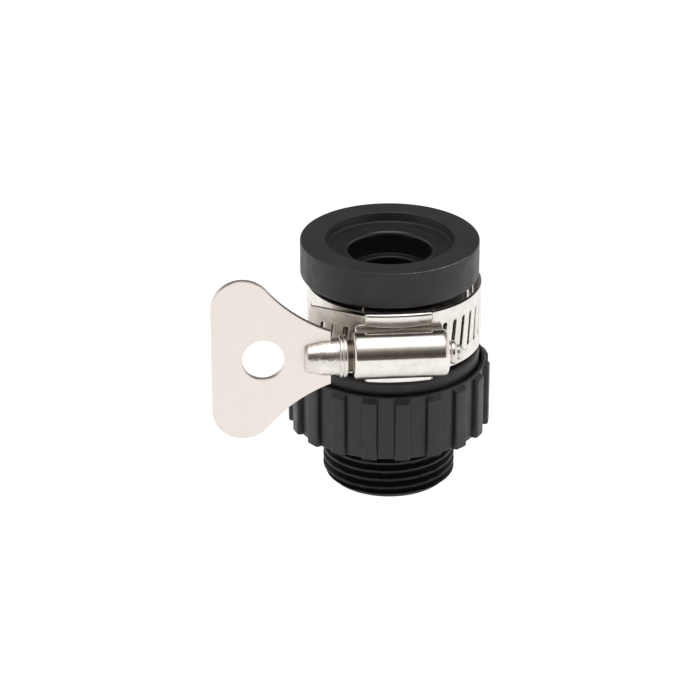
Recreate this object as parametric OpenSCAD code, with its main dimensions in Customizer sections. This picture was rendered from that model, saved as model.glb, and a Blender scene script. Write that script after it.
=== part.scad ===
// Hose adapter for a plain tap: a rubber sleeve is squeezed on the spout by a
// worm-drive band clamp with a thumb key, and a ribbed union nut holds the
// sleeve on a tail with a male hose thread. Millimetres, +Z up, the origin at
// the centre of the thread's end face, the clamp housing towards -Y.

/* [Threaded tail] */
// Outside diameter of the hose thread
thread_d = 26.44; // [21:0.01:29]
// Depth of the hose thread, crest to root
thread_depth = 1.16; // [0.8:0.01:1.6]
// Length of the hose thread, to its last crest
thread_len = 10.8; // [8:0.1:11.5]
// Distance from one crest of the hose thread to the next
thread_pitch = 1.814; // [1.6:0.001:2.4]
// Width of the flat on a crest of the hose thread
crest_flat = 0.3; // [0.2:0.01:0.4]
// Diameter of the water way through the tail
tail_bore_d = 18; // [13:0.1:19]
// Height of the tail, thread end to sleeve seat
tail_h = 19; // [17:0.1:26]
// Edge chamfer of the tail's collar
collar_chamfer = 0.7; // [0.3:0.05:1.2]

/* [Union nut] */
// Height of the nut's lower edge above the thread end
nut_bottom = 12.2; // [11.9:0.1:14]
// Wall round the nut's thread
nut_wall = 2.5; // [1.8:0.1:3.2]
// Running clearance between the nut and the tail's collar
thread_clear = 0.1; // [0.05:0.01:0.1]
// Thickness of the inward lip that grips the sleeve
lip_t = 2; // [1.4:0.1:3]
// Wall of the upstanding rim round the sleeve's bead
rim_wall = 0.8; // [0.6:0.1:1.4]
// Height of that rim above the lip
rim_h = 2.3; // [1.2:0.1:3.5]
// Number of grip ribs
rib_count = 19; // [12:1:24]
// Width of a grip rib
rib_w = 3.4; // [2:0.1:3.8]
// How far a grip rib stands out
rib_out = 0.95; // [0.5:0.05:1.6]
// Turn of the first rib from the front
rib_turn = 7.1; // [0:0.1:18]

/* [Tap sleeve] */
// Height of the sleeve's foot flange under the lip
foot_h = 2.35; // [1.6:0.05:3.5]
// Gap round the foot flange inside the nut
foot_gap = 1.1; // [0.5:0.1:1.6]
// Diameter of the waist that passes through the lip
waist_d = 28.4; // [24:0.1:29]
// Diameter of the bead above the lip
bead_d = 35.8; // [34:0.1:38]
// Height of the bead
bead_h = 4.9; // [3.8:0.1:7]
// Diameter of the neck that the clamp squeezes
neck_d = 29.6; // [26:0.1:30.2]
// Diameter of the head
head_d = 35.28; // [33:0.1:38]
// Height of the head
head_h = 7.65; // [6:0.05:10]
// Diameter of the shallow recess in the head's top
recess_d = 25.5; // [20:0.1:28]
// Depth of that recess
recess_depth = 1.9; // [1:0.1:3]
// Diameter of the mouth for the tap spout
mouth_d = 15.6; // [14:0.1:18]
// Depth of the mouth below the recess floor
mouth_depth = 4.9; // [3:0.1:6]
// Diameter of the bore that grips the tap spout
tap_bore_d = 12.6; // [9:0.1:13.5]

/* [Clamp band] */
// Width of the band
band_w = 12.7; // [9:0.1:14]
// Thickness of the band
band_t = 0.65; // [0.5:0.05:0.8]
// Open space between the band's two layers
layer_gap = 0.3; // [0.1:0.05:0.6]
// How far the loose clamp hangs to one side
band_shift = 0.45; // [0:0.05:0.45]
// Angle from the front to the inner end of the band
inner_end = 43.6; // [34:0.1:60]
// Length of the free tail after its bend
tail_len = 11.6; // [5:0.1:12.5]
// Angle of the free tail to the housing
tail_angle = 31; // [25:1:36]
// Distance from slot to slot along the band
slot_pitch = 2.5; // [2:0.1:3.5]
// Width of a slot
slot_w = 0.9; // [0.7:0.05:1.1]
// Length of a slot
slot_len = 7; // [5:0.1:7.6]
// Slant of a slot, to match the worm
slot_slant = 7; // [0:1:9]

/* [Clamp saddle and housing] */
// Thickness of the saddle plate under the band
saddle_t = 0.8; // [0.5:0.05:1]
// Thickness of the saddle's side tabs
tab_t = 0.75; // [0.5:0.05:1]
// Length of the side tabs along the screw
tab_len = 13.1; // [9:0.1:15]
// Height of the tabs' folded faces
tab_fold = 2.75; // [1.8:0.05:2.9]
// Length of the screw cover
cover_len = 18.4; // [16:0.1:19]
// Thickness of the cover's sheet
cover_t = 0.75; // [0.5:0.05:0.9]
// Length of the cover's flat foot
flange_len = 17; // [14:0.1:18]
// How far that foot stands out beside the cover
flange_out = 0.45; // [0.3:0.05:0.8]

/* [Worm screw] */
// Outside diameter of the worm
worm_d = 7.6; // [6.6:0.1:8.4]
// How deep the worm bites into the slots
worm_bite = 0.3; // [0.1:0.05:0.5]
// Depth of the worm's ridges
worm_depth = 1.2; // [0.8:0.1:1.4]
// Diameter of the plain journal next to the collar
journal_d = 6; // [4.5:0.1:6.4]
// Diameter of the collar outside the cover
collar_d = 8.4; // [7.4:0.1:9.2]
// Thickness of that collar
collar_t = 1.5; // [1:0.1:2.2]
// Diameter of the screw's head
screw_head_d = 7.6; // [6.4:0.1:8]
// Length of the screw's head
screw_head_len = 6.8; // [5:0.1:9]
// Diameter of the screw's far end
tip_d = 4.6; // [3.4:0.1:5]
// Length of that end outside the cover
tip_len = 3.5; // [2.2:0.1:4.5]

/* [Thumb key] */
// Thickness of the key plate
key_t = 1.2; // [0.8:0.05:1.6]
// Distance from the cover's end to the key's near edge
key_start = 4.2; // [3.6:0.1:5.5]
// Length of the key plate along the screw
key_len = 22.9; // [20:0.1:27]
// Radius of the key's rounded lobes
lobe_r = 6; // [4.5:0.1:7]
// Distance between the centres of the lobes
lobe_span = 21.2; // [16:0.1:23]
// Width of the key at its near edge
key_neck_w = 11; // [9:0.1:12.5]
// Radius of the key's hollow flanks
flank_r = 30; // [24:0.5:60]
// Diameter of the hole in the key
key_hole_d = 8.2; // [5:0.1:9]
// Distance from the key's near edge to that hole's centre
key_hole_at = 13; // [11:0.1:14.5]

/* [Hidden] */

$fn = 96;

// Turn of the clamp about the sleeve, from the front
clamp_azimuth = 5;
// Small clearances: faces of one clamp, parts that turn, end play
sheet_gap = 0.05;
seat_gap = 0.15;
shaft_clear = 0.08;
bead_clear = 0.5;
lip_clear = 0.3;
bead_lift = 0.2;
cover_clear = 0.1;
clamp_play = 0.2;
neck_clear = 0.45;
// How far the saddle plate runs on past its tabs, and the gap beside the band
saddle_over = 0.8;
wall_clear = 0.25;
// How much slimmer the screw's head and its far tip are at their ends
head_taper = 0.9;
tip_step = 0.7;
// Edge radii and chamfers of the moulded parts
edge_r = 1;
bead_r_low = 1.8;
top_edge = 0.3;
small_edge = 0.5;
rib_slope = 1;
lip_drop = 0.4;
// A length that runs safely past a face that it cuts, and one that laps a joint
past = 1;
joint_lap = 0.2;
// The band's bend is this much thicker than the flat pieces that lap into it
bend_skin = 0.02;

// Radii of the tail, the nut and the sleeve, from the bead outwards
thread_r = thread_d / 2;
root_r = thread_r - thread_depth;
crest_count = round(thread_len / thread_pitch);
crest_foot = thread_pitch - crest_flat;
bead_r = bead_d / 2;
rim_in_r = bead_r + bead_clear;
nut_r = rim_in_r + rim_wall;
nut_bore_r = nut_r - nut_wall;
tail_collar_r = nut_bore_r - thread_clear;
foot_r = nut_bore_r - foot_gap;
waist_r = waist_d / 2;
lip_r = waist_r + lip_clear;
neck_r = neck_d / 2;
head_r = head_d / 2;

// Heights, from the thread's end face upwards
tail_collar_z = nut_bottom + small_edge;
foot_z = tail_h;
lip_z = foot_z + foot_h + seat_gap;
lip_top = lip_z + lip_t;
nut_top = lip_top + rim_h;
bead_z = lip_top + bead_lift;
neck_z = bead_z + bead_h;

// Saddle and band, from the neck outwards and along Z
inner_wall_z = band_w / 2 + wall_clear;
outer_wall_z = inner_wall_z + tab_t;
neck_h = 2 * (outer_wall_z + clamp_play);
head_z = neck_z + neck_h;
sleeve_top = head_z + head_h;
clamp_z = neck_z + neck_h / 2;
saddle_r = neck_r + neck_clear;
inner_layer_r = saddle_r + saddle_t + sheet_gap;
outer_layer_r = inner_layer_r + band_t + layer_gap;
band_out_r = outer_layer_r + band_t;
flange_y = band_out_r + sheet_gap;
tab_y = flange_y + cover_t + sheet_gap;
tab_out_y = tab_y + tab_t;
// The band leaves the housing flat for two slots and bends within one
tail_flat = 2 * slot_pitch - band_shift;
tail_bend_r = slot_pitch / (tail_angle * PI / 180) + band_t / 2;
back_r = (inner_layer_r + outer_layer_r) / 2;
back_x = band_shift + (outer_layer_r - inner_layer_r) / 2;

// Lengths along the band: flat and bend of the tail, outer layer, back, and the
// slotted stretch of the inner layer, which ends short of the saddle
plain_end = 22;
flat_way = tail_flat + band_shift;
bend_way = slot_pitch;
outer_way = (outer_layer_r + band_t / 2) * PI / 2;
back_way = (back_r + band_t / 2) * PI;
inner_way = (inner_layer_r + band_t / 2) * (90 - plain_end) * PI / 180;

// Screw, cover and key, along the screw from the middle of the housing
worm_r = worm_d / 2;
screw_y = band_out_r + worm_r - worm_bite;
cover_in_r = worm_r + cover_clear;
cover_out_r = cover_in_r + cover_t;
cover_end = cover_len / 2;
core_r = worm_r - worm_depth;
ridge_count = floor((cover_end - cover_t - seat_gap) / slot_pitch);
ridge_crest = 0.34;
ridge_foot = 1.3;
journal_gap = 1.1;
screw_collar_s = cover_end + journal_gap;
screw_head_s = screw_collar_s + collar_t;
screw_end_s = screw_head_s + screw_head_len;
tip_r = tip_d / 2;
tip_step_r = tip_r - tip_step;
key_s = cover_end + key_start;
lobe_s = key_s + key_len - lobe_r;
lobe_h = lobe_span / 2;
flank_bite = 0.04;
key_hole_s = key_s + key_hole_at;

// Turns a profile drawn as [radius, height] points into a ring-shaped solid.
module turned(points) {
    rotate_extrude()
        polygon(points);
}

// Rounds the outer corner of a profile: the points of a quarter circle.
function corner(x, y, r, a0, a1) =
    [for (i = [0:6]) let (a = a0 + (a1 - a0) * i / 6) [x + r * cos(a), y + r * sin(a)]];

// One ridge of a thread as points of a turned profile, centred at s.
function ridge(s, low_r, high_r, foot, crest) = [
    [low_r, s - foot / 2], [high_r, s - crest / 2],
    [high_r, s + crest / 2], [low_r, s + foot / 2]
];

// Places what is drawn in the clamp's own frame, screw along X, housing at -Y.
module in_clamp_frame() {
    translate([0, 0, clamp_z])
        rotate([0, 0, clamp_azimuth])
            children();
}

// Places what is drawn along +Z on the screw's axis, +Z towards the key.
module on_screw_axis() {
    in_clamp_frame()
        translate([0, -screw_y, 0])
            rotate([0, -90, 0])
                children();
}

// Male hose thread as rings of its pitch, its relief, the nut's collar and the seat.
module threaded_tail() {
    color("#1d1d1f")
        difference() {
            turned(concat(
                [[0, 0], [root_r, 0]],
                [for (i = [1:crest_count])
                    each ridge(i * thread_pitch, root_r, thread_r, crest_foot, crest_flat)],
                [[root_r, tail_collar_z],
                 [tail_collar_r - collar_chamfer, tail_collar_z],
                 [tail_collar_r, tail_collar_z + collar_chamfer],
                 [tail_collar_r, tail_h - collar_chamfer],
                 [tail_collar_r - collar_chamfer, tail_h], [0, tail_h]]
            ));
            translate([0, 0, -past])
                cylinder(h = tail_h + 2 * past, d = tail_bore_d);
        }
}

// One grip rib as a bar that the nut's outline trims.
module rib_bar() {
    translate([nut_r - past, -rib_w / 2, nut_bottom])
        cube([past + rib_out, rib_w, nut_top - nut_bottom]);
}

// Ribbed ring with an inner lip over the sleeve's foot and a rim round its bead.
module union_nut() {
    rib_r = nut_r + rib_out;
    color("#29292b")
        difference() {
            union() {
                turned([
                    [0, nut_bottom], [nut_r - small_edge, nut_bottom],
                    [nut_r, nut_bottom + small_edge], [nut_r, nut_top - top_edge],
                    [nut_r - top_edge, nut_top], [0, nut_top]
                ]);
                intersection() {
                    turned([
                        [0, nut_bottom], [rib_r - top_edge, nut_bottom],
                        [rib_r, nut_bottom + top_edge], [rib_r, nut_top - rib_slope],
                        [nut_r - top_edge, nut_top], [0, nut_top]
                    ]);
                    for (i = [0:rib_count - 1])
                        rotate([0, 0, -90 + rib_turn + i * 360 / rib_count])
                            rib_bar();
                }
            }
            translate([0, 0, nut_bottom - past])
                cylinder(h = lip_z - nut_bottom + past, r = nut_bore_r);
            cylinder(h = nut_top, r = lip_r);
            translate([0, 0, lip_top])
                cylinder(h = rim_h + past, r = rim_in_r);
        }
}

// Rubber sleeve: foot flange, waist, bead, neck and the head with its mouth.
module tap_sleeve() {
    bead_top = neck_z;
    floor_z = sleeve_top - recess_depth;
    ledge_z = floor_z - mouth_depth;
    lip_r_top = mouth_d / 2 + lip_drop;
    recess_r = recess_d / 2;
    color("#333335")
        difference() {
            turned(concat(
                [[0, foot_z], [foot_r - small_edge, foot_z], [foot_r, foot_z + small_edge],
                 [foot_r, foot_z + foot_h], [waist_r, foot_z + foot_h], [waist_r, bead_z]],
                corner(bead_r - bead_r_low, bead_z + bead_r_low, bead_r_low, -90, 0),
                corner(bead_r - edge_r, bead_top - edge_r, edge_r, 0, 90),
                [[neck_r, bead_top], [neck_r, head_z]],
                corner(head_r - edge_r, head_z + edge_r, edge_r, -90, 0),
                [[head_r, sleeve_top - top_edge], [head_r - top_edge, sleeve_top], [0, sleeve_top]]
            ));
            turned([
                [0, ledge_z], [mouth_d / 2, ledge_z], [mouth_d / 2, floor_z - 2 * lip_drop],
                [lip_r_top, floor_z - lip_drop], [recess_r - lip_drop, floor_z],
                [recess_r, sleeve_top], [recess_r, sleeve_top + past], [0, sleeve_top + past]
            ]);
            translate([0, 0, foot_z - past])
                cylinder(h = ledge_z - foot_z + 2 * past, d = tap_bore_d);
        }
}

// One layer of the band as a ring sector, from angle a0 to a1.
module layer(centre_x, r, a0, a1) {
    translate([centre_x, 0, -band_w / 2])
        rotate([0, 0, a0])
            rotate_extrude(angle = a1 - a0)
                translate([r, 0])
                    square([band_t, band_w]);
}

// The band from the middle of the housing to its free end: flat, bent, straight.
module free_tail() {
    translate([-tail_flat - joint_lap, -band_out_r, -band_w / 2])
        cube([flat_way + joint_lap, band_t, band_w]);
    translate([-tail_flat, -band_out_r + tail_bend_r, 0]) {
        translate([0, 0, -band_w / 2 - bend_skin])
            rotate([0, 0, -90 - tail_angle])
                rotate_extrude(angle = tail_angle)
                    translate([tail_bend_r - band_t - bend_skin, 0])
                        square([band_t + 2 * bend_skin, band_w + 2 * bend_skin]);
        rotate([0, 0, -tail_angle])
            translate([-tail_len, -tail_bend_r, -band_w / 2])
                cube([tail_len + joint_lap, band_t, band_w]);
    }
}

// Places what is drawn at -Y on an arc of the band, at an angle from the front.
module on_layer(centre_x, r, angle) {
    translate([centre_x, 0, 0])
        rotate([0, 0, angle])
            translate([0, -r - band_t / 2, 0])
                children();
}

// Places what is drawn at a distance along the band, from the housing's middle
// rightwards round the sleeve, or leftwards along the free tail if negative.
module along_band(d) {
    turn = 180 / PI;
    if (d < -flat_way - bend_way)
        translate([-tail_flat, -band_out_r + tail_bend_r, 0])
            rotate([0, 0, -tail_angle])
                translate([d + flat_way + bend_way, band_t / 2 - tail_bend_r, 0])
                    children();
    else if (d < -flat_way)
        translate([-tail_flat, -band_out_r + tail_bend_r, 0])
            rotate([0, 0, turn * (d + flat_way) / (tail_bend_r - band_t / 2)])
                translate([0, band_t / 2 - tail_bend_r, 0])
                    children();
    else if (d < 0)
        translate([band_shift + d, band_t / 2 - band_out_r, 0])
            children();
    else if (d < outer_way)
        on_layer(band_shift, outer_layer_r, turn * d / (outer_layer_r + band_t / 2))
            children();
    else if (d < outer_way + back_way)
        on_layer(back_x, back_r, 90 + turn * (d - outer_way) / (back_r + band_t / 2))
            children();
    else
        on_layer(band_shift, inner_layer_r,
                 270 + turn * (d - outer_way - back_way) / (inner_layer_r + band_t / 2))
            children();
}

// One slanted slot, drawn upright and cut through the band along Y.
module slot_cutter() {
    rotate([90, 0, 0])
        rotate(-slot_slant)
            linear_extrude(height = 4 * band_t, center = true) {
                square([slot_w, slot_len - slot_w], center = true);
                for (side = [-1, 1])
                    translate([0, side * (slot_len - slot_w) / 2])
                        circle(d = slot_w, $fn = 24);
            }
}

// Slotted strip in one piece: free tail, outer layer, back and inner layer.
module clamp_band() {
    first = -floor((flat_way + bend_way + tail_len) / slot_pitch);
    last = floor((outer_way + back_way + inner_way) / slot_pitch) - 1;
    color("#c9c4bd")
        in_clamp_frame()
            difference() {
                union() {
                    layer(band_shift, inner_layer_r, -180, inner_end - 90);
                    layer(back_x, back_r, 0, 180);
                    layer(band_shift, outer_layer_r, -90, 0);
                    free_tail();
                }
                for (i = [first:last])
                    along_band((i + 0.5) * slot_pitch)
                        slot_cutter();
            }
}

// A side wall of the saddle with its tab folded over the housing's flange.
module saddle_wall() {
    fold_z = outer_wall_z - tab_fold;
    translate([-tab_len / 2, -tab_out_y, inner_wall_z])
        cube([tab_len, tab_out_y - saddle_r / 2, tab_t]);
    translate([-tab_len / 2, -tab_out_y, fold_z])
        cube([tab_len, tab_t, tab_fold]);
}

// The saddle's curved plate to an angle on both sides, of a height along Z.
module saddle_plate(half_angle, plate_h) {
    translate([band_shift, 0, -plate_h / 2])
        rotate([0, 0, -90 - half_angle])
            rotate_extrude(angle = 2 * half_angle)
                translate([saddle_r - past, 0])
                    square([saddle_t + past, plate_h]);
}

// Bridge under the band: a curved plate, two side walls and their folded tabs.
module clamp_saddle() {
    tab_angle = asin((tab_len / 2 + band_shift) / saddle_r);
    over_angle = asin((tab_len / 2 + band_shift + saddle_over) / saddle_r);
    color("#b9b4ad")
        in_clamp_frame()
            difference() {
                union() {
                    saddle_plate(tab_angle, 2 * inner_wall_z + tab_t);
                    saddle_plate(over_angle, band_w);
                    saddle_wall();
                    mirror([0, 0, 1])
                        saddle_wall();
                }
                translate([band_shift, 0, -band_w])
                    cylinder(h = 2 * band_w, r = saddle_r);
            }
}

// Formed sheet cover over the screw, on a flat foot with tongues under the tabs.
module clamp_housing() {
    outer_corner = 1.1;
    tip_hole_r = tip_r + shaft_clear;
    journal_hole_r = journal_d / 2 + shaft_clear;
    inner_half = cover_end - cover_t;
    color("#d8d3cc")
        difference() {
            union() {
                intersection() {
                    on_screw_axis()
                        turned(concat(
                            [[0, -cover_end]],
                            corner(cover_out_r - outer_corner, outer_corner - cover_end,
                                   outer_corner, -90, 0),
                            corner(cover_out_r - outer_corner, cover_end - outer_corner,
                                   outer_corner, 0, 90),
                            [[0, cover_end]]
                        ));
                    in_clamp_frame()
                        translate([-cover_len, -screw_y - cover_len, -cover_len])
                            cube([2 * cover_len, screw_y - flange_y + cover_len, 2 * cover_len]);
                }
                in_clamp_frame()
                    translate([0, -flange_y, 0])
                        rotate([90, 0, 0])
                            linear_extrude(height = cover_t) {
                                square([flange_len, 2 * (cover_out_r + flange_out)],
                                       center = true);
                                square([tab_len, 2 * (inner_wall_z - sheet_gap)],
                                       center = true);
                            }
            }
            on_screw_axis() {
                translate([0, 0, -inner_half])
                    cylinder(h = 2 * inner_half, r = cover_in_r);
                translate([0, 0, -cover_end - past])
                    cylinder(h = cover_end + past, r = tip_hole_r);
                cylinder(h = cover_end + past, r = journal_hole_r);
            }
        }
}

// Worm, journals, collar and head, with a slot in the head for the key plate.
module worm_screw() {
    inner_half = cover_end - cover_t - seat_gap;
    journal_r = journal_d / 2;
    screw_collar_r = collar_d / 2;
    head_end_r = screw_head_d / 2 - head_taper;
    chamfer = 0.35;
    color("#d2ccc4")
        on_screw_axis()
            difference() {
                turned(concat(
                    [[0, -cover_end - tip_len], [tip_step_r / 2, -cover_end - tip_len],
                     [tip_step_r, -cover_end - tip_len + tip_step_r / 2],
                     [tip_step_r, -cover_end - tip_len / 2], [tip_r, -cover_end - tip_len / 2],
                     [tip_r, -inner_half], [core_r, -inner_half]],
                    [for (i = [-ridge_count:ridge_count - 1])
                        each ridge((i + 0.5) * slot_pitch - band_shift,
                                   core_r, worm_r, ridge_foot, ridge_crest)],
                    [[core_r, inner_half], [journal_r, inner_half], [journal_r, screw_collar_s],
                     [screw_collar_r - chamfer, screw_collar_s],
                     [screw_collar_r, screw_collar_s + chamfer],
                     [screw_collar_r, screw_head_s - chamfer],
                     [screw_collar_r - chamfer, screw_head_s],
                     [screw_head_d / 2, screw_head_s],
                     [screw_head_d / 2, screw_head_s + screw_head_len / 2]],
                    corner(head_end_r - edge_r, screw_end_s - edge_r, edge_r, 0, 90),
                    [[0, screw_end_s]]
                ));
                translate([-screw_head_d, -key_t / 2 - sheet_gap / 2, key_s - sheet_gap])
                    cube([2 * screw_head_d, key_t + sheet_gap, screw_head_len + screw_head_s]);
            }
}

// Flat plate with two lobes, hollow flanks and a hole, drawn lying along +X.
module key_plate() {
    shoulder = [key_s, key_neck_w / 2];
    lobe = [lobe_s, lobe_h];
    // The flank's centre lies flank_r from the shoulder, and its arc just bites the lobe.
    apart = norm(lobe - shoulder);
    reach = flank_r + lobe_r - flank_bite;
    along = (apart * apart + flank_r * flank_r - reach * reach) / (2 * apart);
    aside = sqrt(flank_r * flank_r - along * along);
    way = (lobe - shoulder) / apart;
    flank = shoulder + along * way + aside * [-way[1], way[0]];
    touch = lobe + lobe_r / reach * (flank - lobe);
    difference() {
        union() {
            linear_extrude(height = key_t)
                polygon([shoulder, touch, lobe, [lobe[0], -lobe[1]], [touch[0], -touch[1]],
                         [shoulder[0], -shoulder[1]]]);
            translate([lobe_s - lobe_r / 2, -lobe_h, 0])
                cube([1.5 * lobe_r, lobe_span, key_t]);
            for (side = [-1, 1])
                translate([lobe_s, side * lobe_h, 0])
                    cylinder(h = key_t, r = lobe_r);
        }
        for (side = [-1, 1])
            translate([flank[0], side * flank[1], -past])
                cylinder(h = key_t + 2 * past, r = flank_r, $fn = 360);
        translate([key_hole_s, 0, -past])
            cylinder(h = key_t + 2 * past, d = key_hole_d);
    }
}

// The key stands in the screw head's slot, in the plane of the screw's axis.
module thumb_key() {
    color("#e6dfd8")
        on_screw_axis()
            translate([0, key_t / 2, 0])
                rotate([90, 0, 0])
                    rotate([0, 0, 90])
                        key_plate();
}

threaded_tail();
union_nut();
tap_sleeve();
clamp_band();
clamp_saddle();
clamp_housing();
worm_screw();
thumb_key();
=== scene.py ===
"""Looks of a tap hose adapter: rubber sleeve, ribbed union nut, threaded tail, and a band clamp with a key.

Sizes are in millimetres and become metres when a mesh is made. Everything stands in the CAD model's frame.
"""

import math

import bmesh
import bpy
from mathutils import Matrix, Vector


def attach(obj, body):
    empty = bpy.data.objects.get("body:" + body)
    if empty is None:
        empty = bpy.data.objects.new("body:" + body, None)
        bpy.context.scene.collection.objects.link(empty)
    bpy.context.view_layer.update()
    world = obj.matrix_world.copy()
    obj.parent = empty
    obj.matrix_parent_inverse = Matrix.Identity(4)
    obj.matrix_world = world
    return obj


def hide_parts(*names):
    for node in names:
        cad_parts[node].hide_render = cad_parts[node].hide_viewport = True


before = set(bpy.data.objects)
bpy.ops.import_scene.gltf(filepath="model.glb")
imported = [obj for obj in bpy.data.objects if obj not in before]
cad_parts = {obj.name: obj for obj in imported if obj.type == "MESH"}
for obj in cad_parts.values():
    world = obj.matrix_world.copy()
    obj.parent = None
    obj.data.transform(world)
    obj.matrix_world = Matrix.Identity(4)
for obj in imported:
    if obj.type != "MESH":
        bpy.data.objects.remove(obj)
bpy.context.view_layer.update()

MM = 0.001
TURN = 2 * math.pi

# Threaded tail
THREAD_R = 13.22
THREAD_DEPTH = 1.16
THREAD_PITCH = 1.814
CREST_Z = 0.91
THREAD_TOP = 10.2
TAIL_BORE_R = 9.0
TAIL_TOP = 19.0
COLLAR_Z = 12.7
COLLAR_R = 16.6
# Ring nut
NUT_Z = (12.2, 25.8)
NUT_R = 19.2
NUT_BORE_R = 16.7
NUT_LIP_R = 14.5
NUT_LIP_Z = (21.5, 23.5)
NUT_RIM_R = 18.4
RIB_COUNT = 19
RIB_W = 3.4
RIB_R = 20.15
RIB_TURN = 7.1
RIB_DRAFT = 0.22
# Sleeve
FOOT_R = 15.6
FOOT_TOP = 21.35
WAIST_R = 14.2
BEAD_R = 17.9
BEAD_Z = (23.7, 28.6)
NECK_R = 14.8
HEAD_R = 17.64
HEAD_Z = (43.7, 51.35)
RECESS_R = 12.75
RECESS_Z = 49.45
MOUTH_R = 7.8
MOUTH_Z = 44.55
TAP_BORE_R = 6.3
# Clamp band, in the clamp's own frame
CLAMP_Z = 36.15
CLAMP_TURN = 5.0
BAND_W = 12.7
BAND_T = 0.65
SHIFT = 0.45
INNER_R = 16.1
OUTER_R = 17.05
BACK_R = 16.575
BACK_X = 0.925
PITCH = 2.5
SLOT_W = 0.9
SLOT_LEN = 7.0
SLOT_SLANT = 7.0
TAIL_ANGLE = 31.0
TAIL_LEN = 11.6
INNER_END = 43.6
PLAIN_END = 22.0
# Saddle, housing and screw
SADDLE_R = 15.25
SADDLE_T = 0.8
TAB_T = 0.75
TAB_X = 6.55
WALL_Z = 6.6
TAB_FOLD = 2.75
TAB_OUT_Y = 19.3
TAB_SAG = 0.5
TAB_RISE = 0.55
FLANGE_Y = 17.75
SCREW_Y = 21.2
COVER_R = 4.65
COVER_T = 0.75
COVER_END = 9.2
FOOT_X = 8.5
FOOT_Z = 5.1
WORM_R = 3.8
CORE_R = 2.6
TIP_R = 2.3
JOURNAL_R = 3.0
RING_R = 4.2
RING_START = 10.3
HEAD_START = 11.8
HEAD_END = 18.6
# Thumb key, along the screw's axis
KEY_T = 1.2
KEY_S = 13.4
LOBE_R = 6.0
LOBE_S = 30.3
LOBE_H = 10.6
NECK_H = 5.5
FLANK_R = 30.0
KEY_HOLE_S = 26.4
KEY_HOLE_R = 4.1


# Meshes

def new_piece(name, points, faces, to_frame=None):
    """A mesh in the CAD frame from millimetre points, with doubles merged and faces turned outwards."""
    mesh = bpy.data.meshes.new(name)
    mesh.from_pydata([tuple(p) for p in points], [], faces)
    if to_frame is not None:
        mesh.transform(to_frame)
    mesh.transform(Matrix.Scale(MM, 4))
    clean_mesh(mesh)
    piece = bpy.data.objects.new(name, mesh)
    bpy.context.scene.collection.objects.link(piece)
    return piece


def clean_mesh(mesh, close=2e-6):
    """Merges what coincides, drops faces without area and points every face outwards."""
    work = bmesh.new()
    work.from_mesh(mesh)
    bmesh.ops.remove_doubles(work, verts=work.verts, dist=close)
    bmesh.ops.dissolve_degenerate(work, edges=work.edges, dist=close / 4)
    bmesh.ops.recalc_face_normals(work, faces=work.faces)
    work.to_mesh(mesh)
    work.free()


def set_mesh(piece):
    """Bakes the piece's modifiers into its mesh and takes them off."""
    bpy.context.view_layer.update()
    graph = bpy.context.evaluated_depsgraph_get()
    made = bpy.data.meshes.new_from_object(piece.evaluated_get(graph))
    piece.modifiers.clear()
    piece.data = made
    return piece


def thicken(piece, thickness, offset=0.0):
    """Gives a sheet its thickness, half to each side unless offset says otherwise."""
    wall = piece.modifiers.new("sheet thickness", "SOLIDIFY")
    wall.thickness = thickness * MM
    wall.offset = offset
    wall.use_even_offset = True
    return set_mesh(piece)


def soften_edges(piece, width, steps=3, angle=32):
    """Rounds the sharp edges and evens the shading beside them."""
    edge = piece.modifiers.new("rounded edges", "BEVEL")
    edge.width = width * MM
    edge.segments = steps
    edge.limit_method = "ANGLE"
    edge.angle_limit = math.radians(angle)
    edge.use_clamp_overlap = False
    edge.miter_outer = "MITER_ARC"
    for poly in piece.data.polygons:
        poly.use_smooth = True
    even = piece.modifiers.new("even shading", "WEIGHTED_NORMAL")
    even.keep_sharp = True
    even.weight = 60
    return set_mesh(piece)


def smooth_shade(piece, angle=35):
    """Smooth shading that breaks only at edges sharper than the angle."""
    for poly in piece.data.polygons:
        poly.use_smooth = True
    piece.data.set_sharp_from_angle(angle=math.radians(angle))
    return piece


def finish_piece(piece, material, body, slot, *nodes):
    """Material, body, finish slot (not used), and the CAD nodes that the piece stands for."""
    piece.data.materials.clear()
    piece.data.materials.append(material)
    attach(piece, body)
    if nodes:
        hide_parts(*nodes)
    return piece


def join_pieces(name, pieces):
    """Several meshes as one object."""
    work = bmesh.new()
    for piece in pieces:
        work.from_mesh(piece.data)
    mesh = bpy.data.meshes.new(name)
    work.to_mesh(mesh)
    work.free()
    joined = bpy.data.objects.new(name, mesh)
    bpy.context.scene.collection.objects.link(joined)
    for piece in pieces:
        bpy.data.objects.remove(piece)
    return joined


def rounded(corners, steps=5):
    """A closed outline from (x, y, radius) corners, each one rounded by an arc."""
    points = []
    count = len(corners)
    for i, (x, y, radius) in enumerate(corners):
        here = Vector((x, y))
        back = Vector(corners[i - 1][:2]) - here
        ahead = Vector(corners[(i + 1) % count][:2]) - here
        angle = back.angle(ahead) if back.length and ahead.length else math.pi
        if radius <= 0 or angle > math.pi - 0.01:
            points.append((x, y))
            continue
        run = min(radius / math.tan(angle / 2), back.length * 0.49, ahead.length * 0.49)
        radius = run * math.tan(angle / 2)
        back.normalize()
        ahead.normalize()
        centre = here + (back + ahead).normalized() * (radius / math.sin(angle / 2))
        first = here + back * run - centre
        last = here + ahead * run - centre
        sweep = first.angle_signed(last)
        for k in range(steps + 1):
            spoke = first.copy()
            spoke.rotate(Matrix.Rotation(-sweep * k / steps, 2))
            points.append(tuple(centre + spoke))
    return points


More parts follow.
